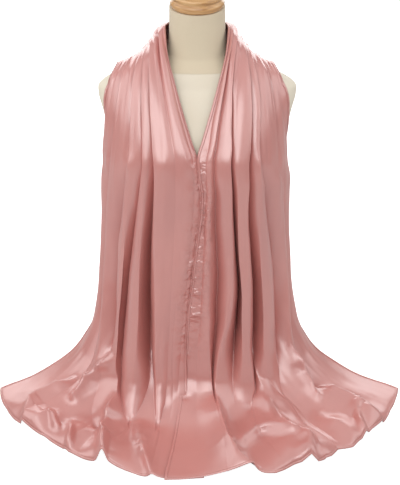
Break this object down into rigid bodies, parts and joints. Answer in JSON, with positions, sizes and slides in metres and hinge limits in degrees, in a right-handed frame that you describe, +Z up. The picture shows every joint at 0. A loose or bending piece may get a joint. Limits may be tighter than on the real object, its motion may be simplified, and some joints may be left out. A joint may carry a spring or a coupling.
{
  "type": "hijab on dress form",
  "caption": "Long satin hijab shawl hung open round the neck of a limbless dress form, in deep folds that spread in a half round where the hem lies.",
  "frame": {"origin": "middle of the dress form's flat underside, on the surface it stands on", "axes": "+Z up; the front with the shawl's two hanging ends faces -Y; +X is at the viewer's right, the wearer's left"},
  "size_m": [0.794, 0.5129, 0.8014],
  "materials": {
    "satin": "dusty rose satin with a soft sheen",
    "form_cover": "cream jersey stretched over the form",
    "neck_cover": "ecru jersey, a little darker",
    "turned_wood": "clear lacquered honey-coloured wood"
  },
  "bodies": {
    "root": {"shawl_fall_left": "satin", "shawl_fall_right": "satin", "shawl_nape": "satin", "form_torso": "form_cover", "form_neck": "neck_cover", "form_cap": "turned_wood"}
  },
  "joints": []
}
